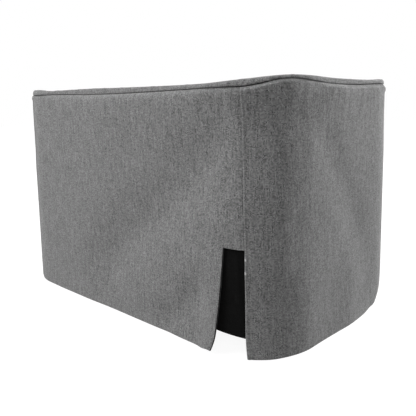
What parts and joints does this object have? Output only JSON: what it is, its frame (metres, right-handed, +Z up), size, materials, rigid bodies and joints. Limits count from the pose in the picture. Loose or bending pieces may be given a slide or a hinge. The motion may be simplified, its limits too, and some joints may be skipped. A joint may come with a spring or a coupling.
{
  "type": "speaker cover",
  "caption": "Slip-on fabric dust cover for a tabletop speaker: a soft open-bottomed box with rounded corners, a turned top seam and a cable slot beside one back seam.",
  "frame": {"origin": "on the hem's plane, below the middle of the cover", "axes": "+X from side to side, +Y towards the back, which has the cable slot, +Z up"},
  "size_m": [0.2986, 0.1877, 0.1739],
  "materials": {
    "cover_cloth": "mid-grey melange plain weave with a linen-like slub, matte, dark on the inside",
    "black_facing": "black close-woven cloth, matte"
  },
  "bodies": {
    "root": {"top_panel": "cover_cloth", "back_panel": "cover_cloth", "wrap_panel": "cover_cloth", "slot_facing": "black_facing"}
  },
  "joints": []
}
